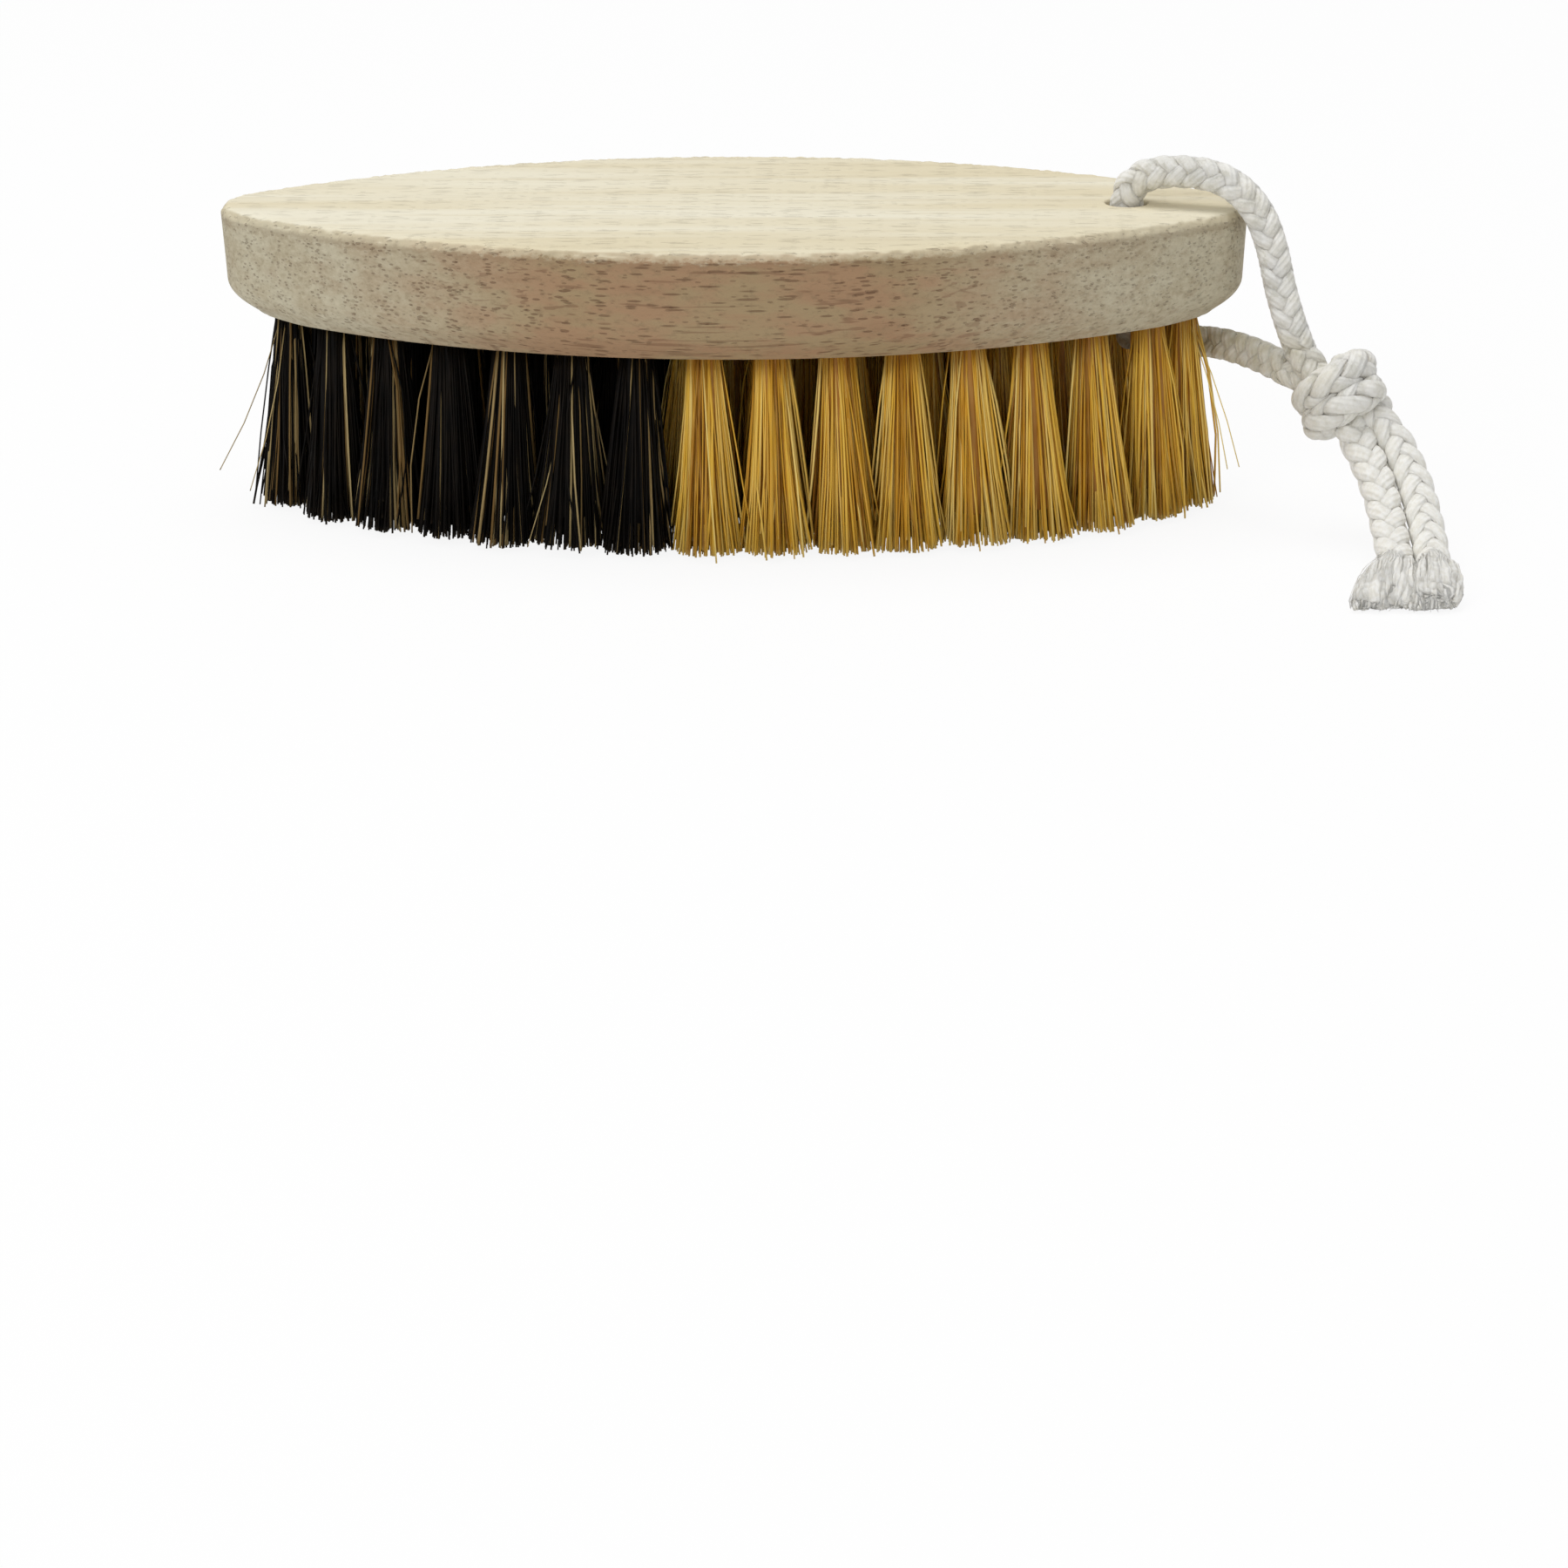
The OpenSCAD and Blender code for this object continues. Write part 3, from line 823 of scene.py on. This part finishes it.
GOLDEN_STOPS = [
    (0.0, colour(156, 104, 22)), (0.25, colour(220, 164, 44)),
    (0.6, colour(240, 194, 70)), (1.0, colour(252, 224, 134)),
]
DARK_STOPS = [
    (0.0, colour(5, 4, 3)), (0.84, colour(15, 12, 9)), (0.88, colour(122, 94, 52)), (1.0, colour(200, 178, 126)),
]
# The colour after each tip's colour is the painted shade at the fibres' roots.
golden = fibre_paint("golden_fibre", GOLDEN_STOPS, colour(226, 196, 124), colour(176, 122, 56), 0.45, 0.3)
dark = fibre_paint("dark_fibre", DARK_STOPS, colour(58, 46, 32), colour(8, 6, 5), 0.55, 0.12)

# %% [markdown]
# ## One tuft
# A tuft is a bundle of fibres, a little over a hundred at this size, tight in its hole and fanned out to its tips,
# which were cut level after the block was filled. Particle hair would grow them quickly, but hair isn't a mesh and
# can't be exported, so each fibre is a thin tube of three sides with its own bend. Three hundred of them make the fan
# as full as in the photograph, and they overlap only inside the hole. Tufts lean out the more the nearer they are to
# the block's edge. A few fibres in each have come loose or are cut short, and odd colours stand side by side.

# %% One tuft
FIBRES, FIBRE_RINGS, FIBRE_SIDES = 300, 4, 3
FIBRE_R = (0.12, 0.19)
HOLE_R = 2.02
LEAN_X, LEAN_Y = 1.3 / 59, 0.15
LOOSE_SHARE, SHORT_SHARE = 0.07, 0.04
ODD_CLUMPS, ODD_WIDE, ODD_KIND = 5, 0.09, 0.88


def tuft_end(x, y, rng):
    """Where the middle of a tuft's tips lands, how far they fan out, and how high they are cut."""
    fan = rng.uniform(4.1, 4.4) if abs(x) > 50 else rng.uniform(4.6, 5.1)
    return np.array([x * (1 + LEAN_X), y * (1 + LEAN_Y)]) + rng.normal(0, 0.35, 2), fan, rng.uniform(0.0, 0.6)


def one_tuft(x, y, odd, rng):
    """Each fibre's base, tip, bend, radius and colour number, and the measures of the tuft's core."""
    n = FIBRES
    end, fan, level = tuft_end(x, y, rng)
    turn = rng.uniform(0, 2 * np.pi, n)
    out = rng.uniform(0, 1, n) ** 0.42
    ring = np.stack([np.cos(turn), np.sin(turn)], 1)
    base = np.column_stack([(x, y) + HOLE_R * out[:, None] * ring, np.full(n, TRIM + 0.8)])
    away = turn + rng.normal(0, 0.16, n)
    loose = rng.uniform(size=(n, 1)) < LOOSE_SHARE
    scatter = rng.normal(0, 0.3, (n, 2)) + loose * np.clip(rng.normal(0, 1.8, (n, 2)), -2.4, 2.4)
    foot = end + np.stack([np.cos(away), np.sin(away)], 1) * (fan * out)[:, None] + scatter
    z = level + 0.5 * out**3 + rng.exponential(0.4, n) + (rng.uniform(size=n) < SHORT_SHARE) * rng.uniform(0, 4, n)
    tip = np.column_stack([foot, np.clip(z, FLOOR_GAP, 6)])
    sway = -0.3 * ring * out[:, None] + rng.normal(0, 0.2, (n, 2)) * (1 + 3 * loose)
    bow = np.column_stack([sway, np.zeros(n)])
    radius = rng.uniform(*FIBRE_R, n)
    wave = 0.5 + 0.26 * np.sin(3 * turn + rng.uniform(0, 6)) + 0.2 * np.sin(7 * turn + rng.uniform(0, 6))
    shade = np.clip(wave + rng.normal(0, 0.16, n), 0, 0.8)
    clump = rng.uniform(0, 2 * np.pi, ODD_CLUMPS)
    near = np.abs((turn[:, None] - clump[None] + np.pi) % (2 * np.pi) - np.pi).min(1)
    picked = rng.uniform(size=n) < np.where(near < ODD_WIDE, 6, 0.35) * odd
    kind = np.where(picked, rng.uniform(ODD_KIND, 1.0, n), shade)
    return (base, tip, bow, radius, kind), (x, y, *end, fan, level)


def strands(base, tip, bow, radius, spin):
    """Fibres from base points to tip points, bent by bow and turned by spin."""
    t = np.linspace(0, 1, FIBRE_RINGS)[None, :, None]
    line = base[:, None] * (1 - t) + tip[:, None] * t + bow[:, None] * (4 * t * (1 - t))
    return tubes(line, radius, lambda t: 1 - 0.1 * t, FIBRE_SIDES, spin)


# %% [markdown]
# ## The tufts' cores
# A real tuft is packed so tight that no light gets through its middle. More fibres would do that too, at a great cost
# in faces, so a ribbed cone stands inside each fan. It has the fibres' colour near the root, painted root shade
# included, and shows only as depth.

# %% The tufts' cores
CORE_STEPS, CORE_SIDES = (0.0, 0.04, 0.35, 0.7, 0.84), 16
CORE_R, CORE_FAN, CORE_RIB, CORE_ALONG = 1.95, 0.72, 0.06, 0.1


def core_bodies(cores):
    """Points and faces of every tuft's core, and the place along a fibre whose shade each point has."""
    points, faces = [], []
    for x, y, end_x, end_y, fan, level in cores:
        count = len(points)
        for t in CORE_STEPS:
            r = CORE_R * (1 - t) + fan * CORE_FAN * t
            at_x, at_y = x * (1 - t) + end_x * t, y * (1 - t) + end_y * t
            z = (TRIM + 1) * (1 - t) + level * t
            for k, a in enumerate(np.linspace(0, 2 * math.pi, CORE_SIDES, endpoint=False)):
                rib = r * (1 - CORE_RIB * (k % 2))
                points.append((at_x + rib * math.cos(a), at_y + rib * math.sin(a), z))
        wall = wall_faces(len(CORE_STEPS), CORE_SIDES) + count
        last = count + (len(CORE_STEPS) - 1) * CORE_SIDES
        faces += wall[:, :3].tolist() + wall[:, [0, 2, 3]].tolist()
        faces += [[count, count + k + 1, count + k] for k in range(1, CORE_SIDES - 1)]
        faces += [[last, last + k, last + k + 1] for k in range(1, CORE_SIDES - 1)]
    return np.array(points), np.array(faces), np.full(len(points), CORE_ALONG)


# %% [markdown]
# ## The bristles
# All tufts of one colour are one piece, in place of the CAD tufts of that colour. The photograph also shows a few
# single hairs that stick out at the ends and along the front, so those are listed one by one.

# %% The bristles
TUFT_NODES = {"golden_fibre": "tuft_light", "dark_fibre": "tuft_dark"}
PALE_HAIRS = [((60.5, -1, 25), (66.9, -7, 7)), ((60.3, -2, 25), (65.3, -8, 7))]
DARK_HAIRS = [((-60.4, -1, 25), (-68.6, -6, 6)), ((-59.5, -2, 25), (-64.2, -9, 4)), ((-20, -18, 26), (-26, -24, 1))]
HAIR_BEND, HAIR_R, HAIR_KIND = (0.6, 0.2, -0.4), 0.09, 0.97


def bristles(places, hairs, odd, seed):
    """The fibres of all tufts and the stray hairs. Odd is the share of fibres whose colour stands out."""
    rng = np.random.default_rng(seed)
    tufts = [one_tuft(x, y, odd, rng) for x, y in places]
    fibres = [fibre for fibre, _ in tufts]
    fibres += [([start], [stop], [HAIR_BEND], [HAIR_R], [HAIR_KIND]) for start, stop in hairs]
    base, tip, bow, radius, kind = map(np.concatenate, zip(*fibres))
    spin = rng.uniform(0, 2 * np.pi, len(base))
    points, faces, along, number = strands(base, tip, bow, radius, spin)
    points[:, 2] = np.maximum(points[:, 2], 0.0)
    return points, faces, {"along": along, "kind": kind[number]}, [core for _, core in tufts]


def bristle_piece(name, places, hairs, odd, paint, slot, seed):
    """One piece of fibres and cores in place of the CAD tufts of that colour."""
    points, faces, data, cores = bristles(places, hairs, odd, seed)
    core_points, core_faces, core_along = core_bodies(cores)
    faces = np.vstack([faces, core_faces + len(points)])
    data["along"] = np.concatenate([data["along"], core_along])
    data["kind"] = np.concatenate([data["kind"], np.zeros(len(core_points))])
    piece = make_piece(name, np.vstack([points, core_points]) * MM, faces, paint.material, data)
    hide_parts(*[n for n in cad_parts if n.startswith(TUFT_NODES[slot])])


bristle_piece("pale_bristles", pale_places, PALE_HAIRS, 0.1, golden, "golden_fibre", 11)
bristle_piece("dark_bristles", dark_places, DARK_HAIRS, 0.13, dark, "dark_fibre", 12)

# %% [markdown]
# ## Staples
# The wire staples sit at the bottom of the holes, where nobody sees them. The CAD solids stay as they are and get a
# drawn-steel finish: fine lines along the wire and a slightly uneven shine.

# %% Staples
steel = Paint("steel_wire", Metallic=1.0)
drawn = steel.noise((300, 9000, 9000), 2.0)
steel.drive("Base Color", steel.mix(drawn, colour(170, 172, 174), colour(200, 201, 202)))
steel.drive("Roughness", steel.ramp(drawn, 0.3, 0.7, 0.28, 0.42))
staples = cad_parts["anchor_staples"]
staples.data.materials.clear()
staples.data.materials.append(steel.material)
print("staples", len(staples.data.polygons), "faces")

# %% [markdown]
# ## Floor
# The photograph is a plain product shot that was cut out on white. The floor is white, and mostly glows for the
# camera only, so that it stays white while the brush keeps a very faint shadow. A floor that only caught light would
# turn grey at its far end.

# %% Floor
FLOOR_HALF, FLOOR_Z, FLOOR_GLOW = 4, -0.0002, 0.9

floor = Paint("floor")
floor.tree.nodes.remove(floor.shader)
matt = floor.node("ShaderNodeBsdfDiffuse", None, {"Color": (0.9, 0.9, 0.9, 1)})
glow = floor.node("ShaderNodeEmission", None, {"Color": (1, 1, 1, 1), "Strength": 1.0})
seen = floor.node("ShaderNodeLightPath", out="Is Camera Ray") * FLOOR_GLOW
both = floor.node("ShaderNodeMixShader", None, {0: seen, 1: matt, 2: glow})
floor.tree.links.new(both.socket, floor.tree.nodes["Material Output"].inputs["Surface"])
floor_mesh = bpy.data.meshes.new("floor")
floor_corners = [(x * FLOOR_HALF, y * FLOOR_HALF, FLOOR_Z) for x, y in ((-1, -1), (1, -1), (1, 1), (-1, 1))]
floor_mesh.from_pydata(floor_corners, [], [(0, 1, 2, 3)])
floor_mesh.materials.append(floor.material)
put_in_scene("floor", floor_mesh)
print("floor nodes", len(floor.tree.nodes))

# %% [markdown]
# ## Light
# The light in the photograph comes from above and is very soft. A wide lamp overhead, a smaller one in front and an
# even white sky do that. The sky lights the brush at half the strength that the camera sees it at.

# %% Light
SKY_LIGHT, SKY_SEEN = 0.5, 1.0

world = bpy.data.worlds.new("studio")
world.use_nodes = True
sky = world.node_tree.nodes["Background"]
sky.inputs["Color"].default_value = (1, 1, 1, 1)
ray = world.node_tree.nodes.new("ShaderNodeLightPath")
strength = world.node_tree.nodes.new("ShaderNodeMapRange")
strength.inputs["To Min"].default_value = SKY_LIGHT
strength.inputs["To Max"].default_value = SKY_SEEN
world.node_tree.links.new(ray.outputs["Is Camera Ray"], strength.inputs["Value"])
world.node_tree.links.new(strength.outputs["Result"], sky.inputs["Strength"])
bpy.context.scene.world = world


def lamp(name, at, aim, size, power):
    """A round soft lamp at a place, aimed at another."""
    data = bpy.data.lights.new(name, "AREA")
    data.shape = "DISK"
    data.size = size
    data.energy = power
    made = put_in_scene(name, data)
    made.location = at
    made.rotation_mode = "QUATERNION"
    made.rotation_quaternion = (Vector(at) - Vector(aim)).to_track_quat("Z", "Y")


lamp("overhead", (-0.1, 0.1, 1.1), (0, 0, 0), 0.7, 5.6)
lamp("front", (-0.5, -0.9, 0.7), (0, 0, 0.02), 0.5, 3.4)
bpy.context.scene.view_settings.view_transform = "Standard"
